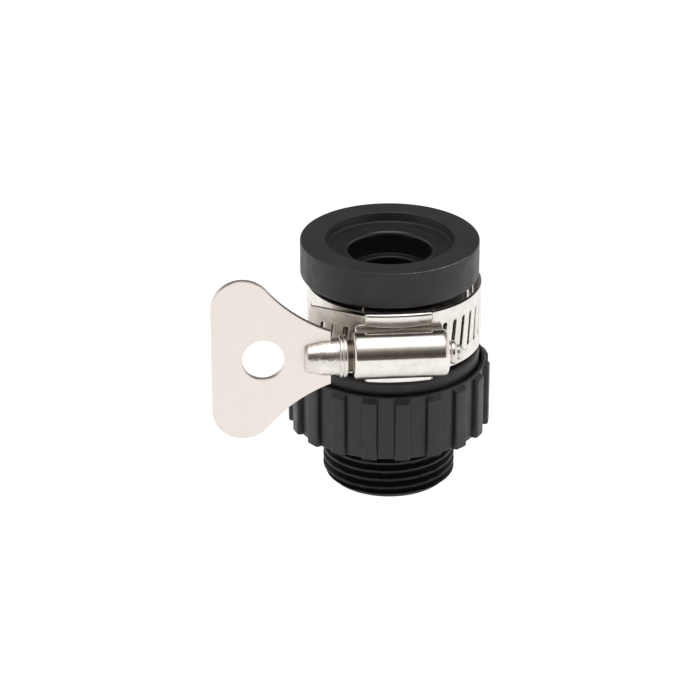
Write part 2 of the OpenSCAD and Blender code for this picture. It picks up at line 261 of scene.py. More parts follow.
def turned(outline, steps, start=0.0, sweep=TURN):
    """Points and faces of a closed (radius, height) outline turned about Z, capped after part of a turn."""
    close = abs(sweep - TURN) < 1e-6
    count = len(outline)
    rows = steps if close else steps + 1
    points = [
        (r * math.cos(start + sweep * k / steps), r * math.sin(start + sweep * k / steps), z)
        for k in range(rows)
        for r, z in outline
    ]
    faces = []
    for k in range(steps):
        k2 = (k + 1) % rows
        for i in range(count):
            j = (i + 1) % count
            if outline[i][0] < 1e-6 and outline[j][0] < 1e-6:
                continue
            faces.append((k * count + i, k2 * count + i, k2 * count + j, k * count + j))
    if not close:
        faces.append(tuple(range(count)))
        faces.append(tuple(range((rows - 1) * count, rows * count)))
    return points, faces


def ring_faces(rows, count, around=False):
    """Quads between rows of points that are each closed; around also joins the last row to the first."""
    faces = []
    for k in range(rows if around else rows - 1):
        here, there = k * count, (k + 1) % rows * count
        for i in range(count):
            j = (i + 1) % count
            faces.append((here + i, there + i, there + j, here + j))
    return faces


def straight_bar(name, outline, ends, place):
    """A bar in the clamp's frame with the outline at both ends, where place(u, v, end) gives each point."""
    count = len(outline)
    points = [place(u, v, end) for end in ends for u, v in outline]
    faces = [tuple(range(count)), tuple(range(count, 2 * count))]
    faces += [(k, (k + 1) % count, count + (k + 1) % count, count + k) for k in range(count)]
    return new_piece(name, points, faces, CLAMP_FRAME)


def grid_faces(columns, rows, hole=None):
    """Quads between columns x rows of points, without those that hole(i, j) names."""
    return [
        (i * rows + j, (i + 1) * rows + j, (i + 1) * rows + j + 1, i * rows + j + 1)
        for i in range(columns - 1)
        for j in range(rows - 1)
        if hole is None or not hole(i, j)
    ]


CLAMP_FRAME = Matrix.Translation((0, 0, CLAMP_Z)) @ Matrix.Rotation(math.radians(CLAMP_TURN), 4, "Z")
# Height runs along the screw's axis towards the key, and the turned profile's X points down.
SCREW_FRAME = CLAMP_FRAME @ Matrix.Translation((0, -SCREW_Y, 0)) @ Matrix.Rotation(-TURN / 4, 4, "Y")


# Node trees

def calculated(tree, operation, *values):
    """A calculation over sockets and plain numbers."""
    node = tree.nodes.new("ShaderNodeMath")
    node.operation = operation
    for socket, value in zip(node.inputs, values):
        if isinstance(value, (int, float)):
            socket.default_value = value
        else:
            tree.links.new(value, socket)
    return node.outputs[0]


def new_tree(name, inputs):
    """An empty geometry node tree with named inputs, and its group input and output nodes."""
    tree = bpy.data.node_groups.new(name, "GeometryNodeTree")
    for label, kind, value in inputs:
        socket = tree.interface.new_socket(label, in_out="INPUT", socket_type=kind)
        if value is not None:
            socket.default_value = value
    tree.interface.new_socket("Geometry", in_out="OUTPUT", socket_type="NodeSocketGeometry")
    return tree, tree.nodes.new("NodeGroupInput"), tree.nodes.new("NodeGroupOutput")


def repeat_tree(name, around):
    """Repeats one object around Z by equal angles, or along X by equal steps, as real geometry."""
    tree, given, result = new_tree(name, [
        ("Geometry", "NodeSocketGeometry", None),
        ("Shape", "NodeSocketObject", None),
        ("Count", "NodeSocketInt", 1),
        ("First", "NodeSocketFloat", 0.0),
        ("Step", "NodeSocketFloat", 0.1),
        ("Merge distance", "NodeSocketFloat", 0.000001),
        ("Material", "NodeSocketMaterial", None),
    ])
    link = tree.links.new
    points = tree.nodes.new("GeometryNodeMeshLine")
    shape = tree.nodes.new("GeometryNodeObjectInfo")
    copies = tree.nodes.new("GeometryNodeInstanceOnPoints")
    solid = tree.nodes.new("GeometryNodeRealizeInstances")
    merge = tree.nodes.new("GeometryNodeMergeByDistance")
    paint = tree.nodes.new("GeometryNodeSetMaterial")
    link(given.outputs["Count"], points.inputs["Count"])
    link(given.outputs["Shape"], shape.inputs["Object"])
    if around:
        points.inputs["Offset"].default_value = (0, 0, 0)
        index = tree.nodes.new("GeometryNodeInputIndex")
        step, first = given.outputs["Step"], given.outputs["First"]
        angle = calculated(tree, "MULTIPLY_ADD", index.outputs[0], step, first)
        spin = tree.nodes.new("ShaderNodeCombineXYZ")
        link(angle, spin.inputs["Z"])
        link(spin.outputs[0], copies.inputs["Rotation"])
    else:
        for label, socket in (("First", "Start Location"), ("Step", "Offset")):
            place = tree.nodes.new("ShaderNodeCombineXYZ")
            link(given.outputs[label], place.inputs["X"])
            link(place.outputs[0], points.inputs[socket])
    link(points.outputs["Mesh"], copies.inputs["Points"])
    link(shape.outputs["Geometry"], copies.inputs["Instance"])
    link(copies.outputs["Instances"], solid.inputs["Geometry"])
    link(solid.outputs["Geometry"], merge.inputs["Geometry"])
    link(given.outputs["Merge distance"], merge.inputs["Distance"])
    link(merge.outputs["Geometry"], paint.inputs["Geometry"])
    link(given.outputs["Material"], paint.inputs["Material"])
    link(paint.outputs["Geometry"], result.inputs["Geometry"])
    return tree


def repeated(name, tree, shape, material, count, first, step):
    """A new object whose mesh is the shape repeated by the tree."""
    holder = bpy.data.objects.new(name, bpy.data.meshes.new(name))
    bpy.context.scene.collection.objects.link(holder)
    repeat = holder.modifiers.new("repeat", "NODES")
    repeat.node_group = tree
    values = {"Shape": shape, "Count": count, "First": first, "Step": step, "Material": material}
    for socket in tree.interface.items_tree:
        if socket.item_type == "SOCKET" and socket.in_out == "INPUT" and socket.name in values:
            repeat[socket.identifier] = values[socket.name]
    set_mesh(holder)
    bpy.data.objects.remove(shape)
    return holder


# Materials

def nodes_of(name):
    """A new node material, its tree, its shader and the object coordinates."""
    material = bpy.data.materials.new(name)
    material.use_nodes = True
    tree = material.node_tree
    shader = tree.nodes["Principled BSDF"]
    where = tree.nodes.new("ShaderNodeTexCoord").outputs["Object"]
    return material, tree, shader, where


def axis_distance(tree, where):
    """Distance from the fitting's axis, in metres."""
    flat = tree.nodes.new("ShaderNodeVectorMath")
    flat.operation = "MULTIPLY"
    flat.inputs[1].default_value = (1, 1, 0)
    tree.links.new(where, flat.inputs[0])
    radius = tree.nodes.new("ShaderNodeVectorMath")
    radius.operation = "LENGTH"
    tree.links.new(flat.outputs[0], radius.inputs[0])
    return radius.outputs["Value"]


def stretched(tree, where, scale):
    """Object coordinates scaled to features per metre along each axis."""
    mapping = tree.nodes.new("ShaderNodeMapping")
    mapping.vector_type = "POINT"
    mapping.inputs["Scale"].default_value = scale
    tree.links.new(where, mapping.inputs["Vector"])
    return mapping.outputs["Vector"]


def grain(tree, where, scale, detail=3.0, rough=0.55):
    """Noise at a number of features per metre."""
    noise = tree.nodes.new("ShaderNodeTexNoise")
    noise.inputs["Scale"].default_value = scale
    noise.inputs["Detail"].default_value = detail
    noise.inputs["Roughness"].default_value = rough
    tree.links.new(where, noise.inputs["Vector"])
    return noise.outputs["Fac"]


def ramp(tree, factor, stops):
    """A colour ramp over the factor, from (place, colour) stops."""
    node = tree.nodes.new("ShaderNodeValToRGB")
    elements = node.color_ramp.elements
    while len(elements) < len(stops):
        elements.new(0.5)
    for element, (place, colour) in zip(elements, stops):
        element.position = place
        element.color = (*colour, 1)
    tree.links.new(factor, node.inputs["Fac"])
    return node.outputs["Color"]


def mixed(tree, factor, first, second):
    """A blend of two colours, where the second may be constant."""
    node = tree.nodes.new("ShaderNodeMix")
    node.data_type = "RGBA"
    tree.links.new(factor, node.inputs["Factor"])
    tree.links.new(first, node.inputs[6])
    if isinstance(second, tuple):
        node.inputs[7].default_value = (*second, 1)
    else:
        tree.links.new(second, node.inputs[7])
    return node.outputs[2]


def spread(tree, factor, low, high, from_low=0.3, from_high=0.7):
    """The factor's middle range stretched between low and high."""
    node = tree.nodes.new("ShaderNodeMapRange")
    ends = {"From Min": from_low, "From Max": from_high, "To Min": low, "To Max": high}
    for label, value in ends.items():
        node.inputs[label].default_value = value
    tree.links.new(factor, node.inputs["Value"])
    return node.outputs["Result"]


def bumps(tree, shader, layers):
    """Stacks (height, strength, distance in millimetres) layers of bump into the shader's normal."""
    normal = None
    for height, strength, distance in layers:
        bump = tree.nodes.new("ShaderNodeBump")
        bump.inputs["Strength"].default_value = strength
        bump.inputs["Distance"].default_value = distance * MM
        tree.links.new(height, bump.inputs["Height"])
        if normal is not None:
            tree.links.new(normal, bump.inputs["Normal"])
        normal = bump.outputs["Normal"]
    tree.links.new(normal, shader.inputs["Normal"])


def moulded(name, dark, light, rough, grain_size, depth, specular=0.5):
    """Moulded plastic or rubber: faint clouds of colour, fine grain and an uneven gloss."""
    material, tree, shader, where = nodes_of(name)
    clouds = grain(tree, where, 160, 4)
    fine = grain(tree, where, grain_size, 2)
    tree.links.new(ramp(tree, clouds, [(0.3, dark), (0.7, light)]), shader.inputs["Base Color"])
    tree.links.new(spread(tree, grain(tree, where, 420, 4), rough[0], rough[1]), shader.inputs["Roughness"])
    shader.inputs["Specular IOR Level"].default_value = specular
    bumps(tree, shader, [(clouds, 0.25, 0.05), (fine, 0.5, depth)])
    return material


def plated(name, dark, light, rough, streaks, streak_depth=0.004):
    """Plated steel: drawn streaks along one way, a soft mottle in the plating and small dents."""
    material, tree, shader, where = nodes_of(name)
    lines = grain(tree, stretched(tree, where, streaks), 1.0, 3)
    mottle = grain(tree, where, 380, 5, 0.6)
    fine = grain(tree, where, 3600, 2)
    tree.links.new(ramp(tree, mottle, [(0.25, dark), (0.6, light)]), shader.inputs["Base Color"])
    both = calculated(tree, "MULTIPLY_ADD", lines, 0.5, spread(tree, mottle, 0.0, 0.5))
    tree.links.new(spread(tree, both, rough[0], rough[1], 0.1, 0.9), shader.inputs["Roughness"])
    shader.inputs["Metallic"].default_value = 1.0
    bumps(tree, shader, [(mottle, 0.35, 0.02), (lines, 0.35, streak_depth), (fine, 0.25, 0.002)])
    return material


def painted_band_shade(material):
    """Painted shade on the band, in brown: a patch by the screw's collar, and on the inner layer behind the
    slots.
    """
    tree = material.node_tree
    shader = tree.nodes["Principled BSDF"]
    where = tree.nodes.new("ShaderNodeTexCoord").outputs["Object"]
    patchy = grain(tree, where, 520, 5, 0.65)
    near = tree.nodes.new("ShaderNodeVectorMath")
    near.operation = "DISTANCE"
    near.inputs[1].default_value = (-0.0088, -0.0168, 0.0372)
    tree.links.new(where, near.inputs[0])
    wobble = calculated(tree, "MULTIPLY_ADD", patchy, 0.006, near.outputs["Value"])
    # Painted shadow by the collar, where the head and the cover shade the band.
    painted_collar_shade = spread(tree, wobble, 0.85, 0.0, 0.0045, 0.0132)
    inner = spread(tree, axis_distance(tree, where), 1.0, 0.0, OUTER_R * MM, (OUTER_R + 0.15) * MM)
    side = tree.nodes.new("ShaderNodeSeparateXYZ")
    tree.links.new(where, side.inputs[0])
    # Painted shade on the inner layer, where it shows through the slots.
    painted_slot_shade = calculated(tree, "MULTIPLY", inner, spread(tree, side.outputs["X"], 0.0, 0.9, 0.007, 0.009))
    most = calculated(tree, "MAXIMUM", painted_collar_shade, painted_slot_shade)
    clean = shader.inputs["Base Color"].links[0].from_socket
    # The painted shade's brown is mixed into the band's colour.
    tree.links.new(mixed(tree, most, clean, (0.13, 0.1, 0.075)), shader.inputs["Base Color"])


def shaded_mouth_and_rubbed_lip(material):
    """Painted shade that darkens the rubber in the recess and the mouth, and a lip rubbed smooth by the
    tap.
    """
    tree = material.node_tree
    shader = tree.nodes["Principled BSDF"]
    where = tree.nodes.new("ShaderNodeTexCoord").outputs["Object"]
    # The ramps run from 7 mm to 14 mm: bore, lip, ledge and the recess's wall.
    share = spread(tree, axis_distance(tree, where), 0.0, 1.0, 0.007, 0.014)
    whole, most, half, none = (1, 1, 1), (0.8, 0.8, 0.8), (0.5, 0.5, 0.5), (0, 0, 0)
    # Painted shade by radius: full in the bore, half at the lip, most on the ledge and the recess's wall.
    dark = ramp(tree, share, [(0.1, whole), (0.2, half), (0.32, most), (0.74, most), (0.84, none)])
    old = shader.inputs["Base Color"].links[0].from_socket
    # The painted shade's near-black colour.
    tree.links.new(mixed(tree, dark, old, (0.003, 0.0027, 0.0028)), shader.inputs["Base Color"])
    rubbed = ramp(tree, share, [(0.12, none), (0.17, whole), (0.26, whole), (0.34, none)])
    old = shader.inputs["Roughness"].links[0].from_socket
    node = tree.nodes.new("ShaderNodeMix")
    tree.links.new(rubbed, node.inputs["Factor"])
    tree.links.new(old, node.inputs[2])
    node.inputs[3].default_value = 0.22
    tree.links.new(node.outputs[0], shader.inputs["Roughness"])


# Moulded: dark, light, roughness, grain in features per metre, grain's depth in millimetres
tail_black = moulded(
    "glossy black moulding", (0.005, 0.005, 0.005), (0.009, 0.0085, 0.009), (0.26, 0.4), 2600, 0.006)
nut_black = moulded(
    "satin black moulding", (0.01, 0.0095, 0.01), (0.016, 0.015, 0.0155), (0.32, 0.46), 2400, 0.008)
rubber = moulded(
    "matte black rubber", (0.0125, 0.011, 0.0116), (0.0205, 0.018, 0.019), (0.4, 0.56), 2200, 0.012)
# The pale grey of the rim flash is a painted highlight along the head's edge.
flash_painted_highlight = moulded(
    "rubber flash with painted highlight", (0.1, 0.1, 0.1), (0.24, 0.235, 0.23), (0.6, 0.75), 2200, 0.006, 0.4)
# Plated: dark, light, roughness, streaks in features per metre, streaks' depth in millimetres
band_metal = plated(
    "plated band strip", (0.68, 0.64, 0.59), (0.84, 0.81, 0.77), (0.18, 0.3), (220, 220, 4200))
bridge_metal = plated(
    "plated bridge sheet", (0.74, 0.7, 0.65), (0.88, 0.85, 0.8), (0.14, 0.24), (240, 1400, 3200))
# A darker, rougher copy of the housing's sheet: the darker colour is painted shade.
shaded_shoulder_metal = plated(
    "duller housing sheet in painted shade", (0.5, 0.47, 0.42), (0.7, 0.66, 0.6), (0.3, 0.42), (300, 2600, 2600), 0.006)
housing_metal = plated(
    "plated housing sheet", (0.74, 0.7, 0.64), (0.86, 0.82, 0.76), (0.1, 0.17), (200, 3200, 3200), 0.006)
screw_metal = plated(
    "plated turned steel", (0.62, 0.58, 0.54), (0.82, 0.78, 0.74), (0.14, 0.28), (4200, 300, 300), 0.006)
head_metal = plated(
    "pressed screw head", (0.62, 0.58, 0.54), (0.87, 0.82, 0.78), (0.2, 0.34), (1500, 1500, 1500), 0.14)
# Painted shade: a dark copy of the screw's steel for the journal in the cover's gap.
shaded_journal_metal = plated(
    "journal in painted shade", (0.05, 0.04, 0.03), (0.16, 0.13, 0.1), (0.25, 0.4), (4200, 300, 300))
key_metal = plated(
    "plated key plate", (0.82, 0.76, 0.705), (0.88, 0.815, 0.755), (0.3, 0.42), (300, 1800, 2600), 0.003)
painted_band_shade(band_metal)
shaded_mouth_and_rubbed_lip(rubber)


# Threaded tail: one skin whose outer wall rises and falls with the helix

def thread_height(z, angle):
    """Share of the thread's depth at a height and an angle, faded out under the nut."""
    phase = (z - CREST_Z) / THREAD_PITCH - (angle + math.pi / 2) / TURN
    wave = 0.5 + 0.5 * math.cos(TURN * phase)
    wave = min(1.0, wave * 1.12) ** 0.85
    fade = min(1.0, max(0.0, (THREAD_TOP + 1.0 - z) / 1.4))
    return wave * fade


def make_tail():
    """The threaded tail, from its end face up to the collar under the nut's lip."""
    around, step = 288, 0.085
    root, chamfer = THREAD_R - THREAD_DEPTH, 0.7
    before = [(TAIL_BORE_R, 0.25), (TAIL_BORE_R + 0.25, 0.0), (root - 0.45, 0.0)]
    z = 0.1
    thread_rows = []
    while z < THREAD_TOP + 1.1:
        thread_rows.append(z)
        z += step
    after = [
        (root, COLLAR_Z - 1.1), (root, COLLAR_Z - 0.2), (root + 0.2, COLLAR_Z),
        (COLLAR_R - chamfer, COLLAR_Z), (COLLAR_R, COLLAR_Z + chamfer),
        (COLLAR_R, TAIL_TOP - chamfer), (COLLAR_R - chamfer, TAIL_TOP),
        (TAIL_BORE_R + 0.4, TAIL_TOP), (TAIL_BORE_R, TAIL_TOP - 0.4),
        (TAIL_BORE_R, 14.0), (TAIL_BORE_R, 7.0),
    ]
    points = []
    for k in range(around):
        angle = TURN * k / around
        ring = list(before)
        for z in thread_rows:
            r = root + THREAD_DEPTH * thread_height(z, angle)
            # The end's chamfer cuts the first turn.
            ring.append((min(r, root - 0.35 + z * 1.05), z))
        ring += after
        points += [(r * math.cos(angle), r * math.sin(angle), z) for r, z in ring]
    faces = ring_faces(around, len(points) // around, around=True)
    tail = smooth_shade(new_piece("hose_thread_tail", points, faces), 40)
    finish_piece(tail, tail_black, "tail", "tail_plastic", "threaded_tail")


# Ring nut: a turned ring, and ribs repeated around it

def make_nut():
    """The ring with its inner lip, and its ribs as one repeated shape."""
    low, high = NUT_Z
    lip_low, lip_high = NUT_LIP_Z
    ring = rounded([
        (NUT_BORE_R, low, 0.2), (NUT_R, low, 0.5), (NUT_R, high, 0.3), (NUT_RIM_R, high, 0.15),
        (NUT_RIM_R, lip_high, 0.2), (NUT_LIP_R, lip_high, 0.2), (NUT_LIP_R, lip_low, 0.2),
        (NUT_BORE_R, lip_low, 0.2),
    ])
    nut = smooth_shade(new_piece("ring_nut", *turned(ring, 240)), 35)
    finish_piece(nut, nut_black, "nut", "nut_plastic", "union_nut")
    columns = [-1, -0.5, 0, 0.5, 1]
    heights = [(low, RIB_R - 0.25), (low + 0.25, RIB_R), (high - 1, RIB_R), (high - 0.25, NUT_R - 0.1)]
    points = []
    for c in columns:
        # The sides have the draft that lets them leave the mould.
        crest, foot = c * (RIB_W / 2 - RIB_DRAFT), c * RIB_W / 2
        for z, r in heights:
            points.append((math.sqrt(r * r - crest * crest), crest, z))
        for z, r in reversed(heights):
            points.append((NUT_R - 0.9, foot, min(z, high - 0.4)))
    count = 2 * len(heights)
    faces = ring_faces(len(columns), count)
    for i in (0, (len(columns) - 1) * count):
        faces += [(i + j, i + j + 1, i + count - 2 - j, i + count - 1 - j) for j in range(len(heights) - 1)]
    rib = soften_edges(new_piece("one_rib", points, faces), 0.32, 3, 30)
    ribs = repeated(
        "ring_nut_ribs", repeat_tree("repeat around the ring", True), rib, nut_black,
        RIB_COUNT, math.radians(RIB_TURN - 90), TURN / RIB_COUNT,
    )
    finish_piece(ribs, nut_black, "nut", "nut_plastic")


# Rubber sleeve

def make_sleeve():
    """The rubber sleeve in one turn: foot flange, waist, bead, neck, head, recess, mouth and bore."""
    (head_low, head_top), (bead_low, bead_high) = HEAD_Z, BEAD_Z
    outline = rounded([
        (TAP_BORE_R, TAIL_TOP, 0.3), (FOOT_R, TAIL_TOP, 0.5), (FOOT_R, FOOT_TOP, 0.3),
        (WAIST_R, FOOT_TOP, 0.3), (WAIST_R, bead_low, 0.5),
        (BEAD_R, bead_low, 1.8), (BEAD_R, bead_high, 1.0),
        (NECK_R, bead_high, 0.5), (NECK_R, head_low, 0.5),
        (HEAD_R, head_low, 1.0), (HEAD_R, head_top, 0.35), (RECESS_R, head_top, 0.25),
        (RECESS_R - 0.4, RECESS_Z, 0.5), (MOUTH_R + 0.35, RECESS_Z - 0.4, 0.9),
        (MOUTH_R, MOUTH_Z, 0.2), (TAP_BORE_R, MOUTH_Z, 0.45),
    ], 7)
    points, faces = turned(outline, 256)
    sleeve = smooth_shade(new_piece("rubber_sleeve", points, faces), 50)
    finish_piece(sleeve, rubber, "sleeve", "sleeve_rubber", "tap_sleeve")


def make_rim_flash():
    """A hair of moulding flash on the front right of the head's upper edge, pale grey as a painted
    highlight.
    """
    radius, height, steps, sides = HEAD_R - 0.1, HEAD_Z[1] - 0.09, 110, 6
    points = []
    for k in range(steps + 1):
        share = k / steps
        angle = math.radians(-90 + 5 + 56 * share)
        uneven = 0.9 + 0.42 * math.sin(23 * share + 2.1 * math.sin(61 * share))
        thick = 0.085 * math.sin(math.pi * share) ** 0.4 * uneven
        for j in range(sides):
            r = radius + thick * math.cos(TURN * j / sides)
            z = height + thick * math.sin(TURN * j / sides)
            points.append((r * math.cos(angle), r * math.sin(angle), z))
    flash = smooth_shade(new_piece("rim_flash", points, ring_faces(steps + 1, sides)), 60)
    finish_piece(flash, flash_painted_highlight, "sleeve", "sleeve_rubber")


# Band: a slotted strip, made flat from one cell and laid along the clamp's path

FLAT_WAY = 2 * PITCH
BEND_WAY = PITCH
OUTER_WAY = (OUTER_R + BAND_T / 2) * math.pi / 2
BACK_WAY = (BACK_R + BAND_T / 2) * math.pi
INNER_MID = INNER_R + BAND_T / 2
STRIP_START = -FLAT_WAY - BEND_WAY - TAIL_LEN
STRIP_END = OUTER_WAY + BACK_WAY + INNER_MID * math.radians(90 + INNER_END)
FIRST_SLOT = -int((FLAT_WAY + BEND_WAY + TAIL_LEN) / PITCH)
LAST_SLOT = int((OUTER_WAY + BACK_WAY + INNER_MID * math.radians(90 - PLAIN_END)) / PITCH) - 1


def band_point(d):
    """Where the strip's middle is at a length d, in the clamp's frame."""
    mid = BAND_T / 2
    out = OUTER_R + BAND_T
    bend = PITCH / math.radians(TAIL_ANGLE) + mid
    flat = FLAT_WAY - SHIFT
    if d < -FLAT_WAY - BEND_WAY:
        turn = math.radians(-TAIL_ANGLE)
        run, side = d + FLAT_WAY + BEND_WAY, mid - bend
        return (-flat + run * math.cos(turn) - side * math.sin(turn),
                bend - out + run * math.sin(turn) + side * math.cos(turn))
    if d < -FLAT_WAY:
        turn = (d + FLAT_WAY) / (bend - mid)
        return -flat + (bend - mid) * math.sin(turn), bend - out - (bend - mid) * math.cos(turn)
    if d < 0:
        return SHIFT + d, mid - out
    if d < OUTER_WAY:
        centre, radius, turn = SHIFT, OUTER_R + mid, d / (OUTER_R + mid)
    elif d < OUTER_WAY + BACK_WAY:
        centre, radius = BACK_X, BACK_R + mid
        turn = math.pi / 2 + (d - OUTER_WAY) / radius
    else:
        centre, radius = SHIFT, INNER_MID
        turn = 1.5 * math.pi + (d - OUTER_WAY - BACK_WAY) / radius
    return centre + radius * math.sin(turn), -radius * math.cos(turn)


def slot_rows():
    """Heights across the strip, each with the half width of the slot, or of the mesh's middle past it."""
    end = SLOT_LEN / 2 - SLOT_W / 2
    half = [(k * end / 4, SLOT_W / 2) for k in range(5)]
    arc = [math.pi * k / 8 for k in (1, 2, 3)]
    half += [(end + SLOT_W / 2 * math.sin(a), SLOT_W / 2 * math.cos(a)) for a in arc]
    half.append((SLOT_LEN / 2, 0.0))
    half += [(3.9, 0.25), (4.6, 0.45), (5.3, 0.45), (5.9, 0.45), (BAND_W / 2, 0.45)]
    return [(-w, e) for w, e in reversed(half[1:])] + half


def slanted(w):
    """The shift along the strip from the slots' slant at a height w, fading towards the edges."""
    fade = min(1.0, (BAND_W / 2 - abs(w)) / (BAND_W / 2 - SLOT_LEN / 2))
    return math.tan(math.radians(SLOT_SLANT)) * w * fade


def slot_cell():
    """One pitch of the strip, flat in X and Y, with its slanted slot left open."""
    rows = slot_rows()
    edge = PITCH / 2
    points = []
    for column in range(8):
        for w, e in rows:
            wide = (edge + max(e, 0.2)) / 2
            u = [-edge, -(edge + wide) / 2, -wide, -e, e, wide, (edge + wide) / 2, edge][column]
            points.append((u + slanted(w), w, 0))
    inside = [abs(w) <= SLOT_LEN / 2 + 1e-6 for w, _ in rows]
    faces = grid_faces(8, len(rows), lambda i, j: i == 3 and inside[j] and inside[j + 1])
    return new_piece("one_slot_cell", points, faces)


def plain_end(start, end, corner, name):
    """A stretch of strip without slots, with rounded corners at the end that is free."""
    rows = [w for w, _ in slot_rows()]
    count = max(3, int(abs(end - start) / 0.6))
    points = []
    for k in range(count + 1):
        share = math.sin(math.pi / 2 * k / count)
        d = start + (end - start) * share
        past = max(0.0, corner - abs(end - d))
        half = BAND_W / 2 - (corner - math.sqrt(max(0.0, corner * corner - past * past)))
        for w in rows:
            points.append((d + (1 - share) * slanted(w), w * half / (BAND_W / 2), 0))
    return new_piece(name, points, grid_faces(count + 1, len(rows)))


def make_band():
    """The strip from repeated slots and two plain ends, bent to the clamp's path and thickened."""
    strip = repeated(
        "band_strip", repeat_tree("repeat along the strip", False), slot_cell(), band_metal,
        LAST_SLOT - FIRST_SLOT + 1, (FIRST_SLOT + 0.5) * PITCH * MM, PITCH * MM,
    )
    free = plain_end(FIRST_SLOT * PITCH, STRIP_START, 1.2, "strip_free_end")
    inner = plain_end((LAST_SLOT + 1) * PITCH, STRIP_END, 2.4, "strip_inner_end")
    band = join_pieces("clamp_band_strip", [strip, free, inner])
    clean_mesh(band.data, 4e-6)
    for vertex in band.data.vertices:
        x, y = band_point(vertex.co.x / MM)
        vertex.co = CLAMP_FRAME @ Vector((x, y, vertex.co.y / MM)) * MM
    thicken(band, BAND_T)
    soften_edges(band, 0.1, 2, 40)
    finish_piece(band, band_metal, "clamp", "band_steel", "clamp_band")


# Bridge under the band, with tabs folded over the housing

def folded_tab(side):
    """A wall from the bridge outwards and its tab, folded towards the band over a rounded corner."""
    mid_z = WALL_Z + TAB_T / 2
    out = TAB_OUT_Y - TAB_T / 2
    bend = 0.3
    path = [(13.6, mid_z), (15.4, mid_z), (17.0, mid_z)]
    for k in range(7):
        a = k * math.pi / 12
        path.append((out - bend + bend * math.sin(a), mid_z - bend + bend * math.cos(a)))
    tip = WALL_Z + TAB_T - TAB_FOLD
    path += [(out, (mid_z - bend + tip) / 2), (out, tip + 0.5), (out, tip + 0.2), (out, tip)]
    columns = [-1, -0.985, -0.95, -0.8, -0.6, -0.4, -0.2, 0, 0.2, 0.4, 0.6, 0.8, 0.95, 0.985, 1]
    points = []
    for c in columns:
        for k, (y, z) in enumerate(path):
            x = c * TAB_X
            if k >= len(path) - 3:
                pull = [0.06, 0.22, 0.6][k - len(path) + 3]
                x = max(-TAB_X + pull, min(TAB_X - pull, x))
            points.append((x, -y, side * z))
    piece = thicken(new_piece("one_tab", points, grid_faces(len(columns), len(path))), TAB_T)
    # The face follows the sleeve's round: it falls back towards both ends, and its edge rises there.
    inside = TAB_OUT_Y - TAB_T
    for vertex in piece.data.vertices:
        x, y, z = vertex.co / MM
        end = (x / TAB_X) ** 2
        if -y > inside + 0.01:
            y = -inside - (-y - inside) * (1 - TAB_SAG * end)
        low = max(0.0, min(1.0, (WALL_Z - 0.2 - abs(z)) / 1.6))
        rise = low * TAB_RISE
        if side < 0 and -y > SADDLE_R:
            rise -= 0.35 * (1 - low)
        vertex.co = CLAMP_FRAME @ Vector((x, y, z + side * rise * end)) * MM
    return piece


def make_bridge():
    """The curved plate under the band, lower beyond the tabs, and the two folded tabs."""
    radius = SADDLE_R + SADDLE_T / 2
    narrow, wide = 6.3, 6.9
    left, right = -math.asin((TAB_X + SHIFT) / radius), math.asin((TAB_X - SHIFT) / radius)
    over = math.asin((TAB_X + SHIFT + 0.8) / SADDLE_R)
    columns = [(-over, narrow), (left - 0.003, narrow)]
    columns += [(left + (right - left) * k / 28, wide) for k in range(29)]
    columns += [(right + 0.003, narrow), ((right + over) / 2, narrow), (over, narrow)]
    points = [
        (SHIFT + radius * math.sin(angle), -radius * math.cos(angle), half * share)
        for angle, half in columns
        for share in (-1, -0.6, 0, 0.6, 1)
    ]
    plate = thicken(new_piece("bridge_plate", points, grid_faces(len(columns), 5), CLAMP_FRAME), SADDLE_T)
    bridge = join_pieces("clamp_bridge", [plate, folded_tab(1), folded_tab(-1)])
    soften_edges(bridge, 0.14, 3, 40)
    finish_piece(bridge, bridge_metal, "clamp", "saddle_steel", "clamp_saddle")


# Housing: a turned cover, open at the back, on a flat foot with tongues under the tabs

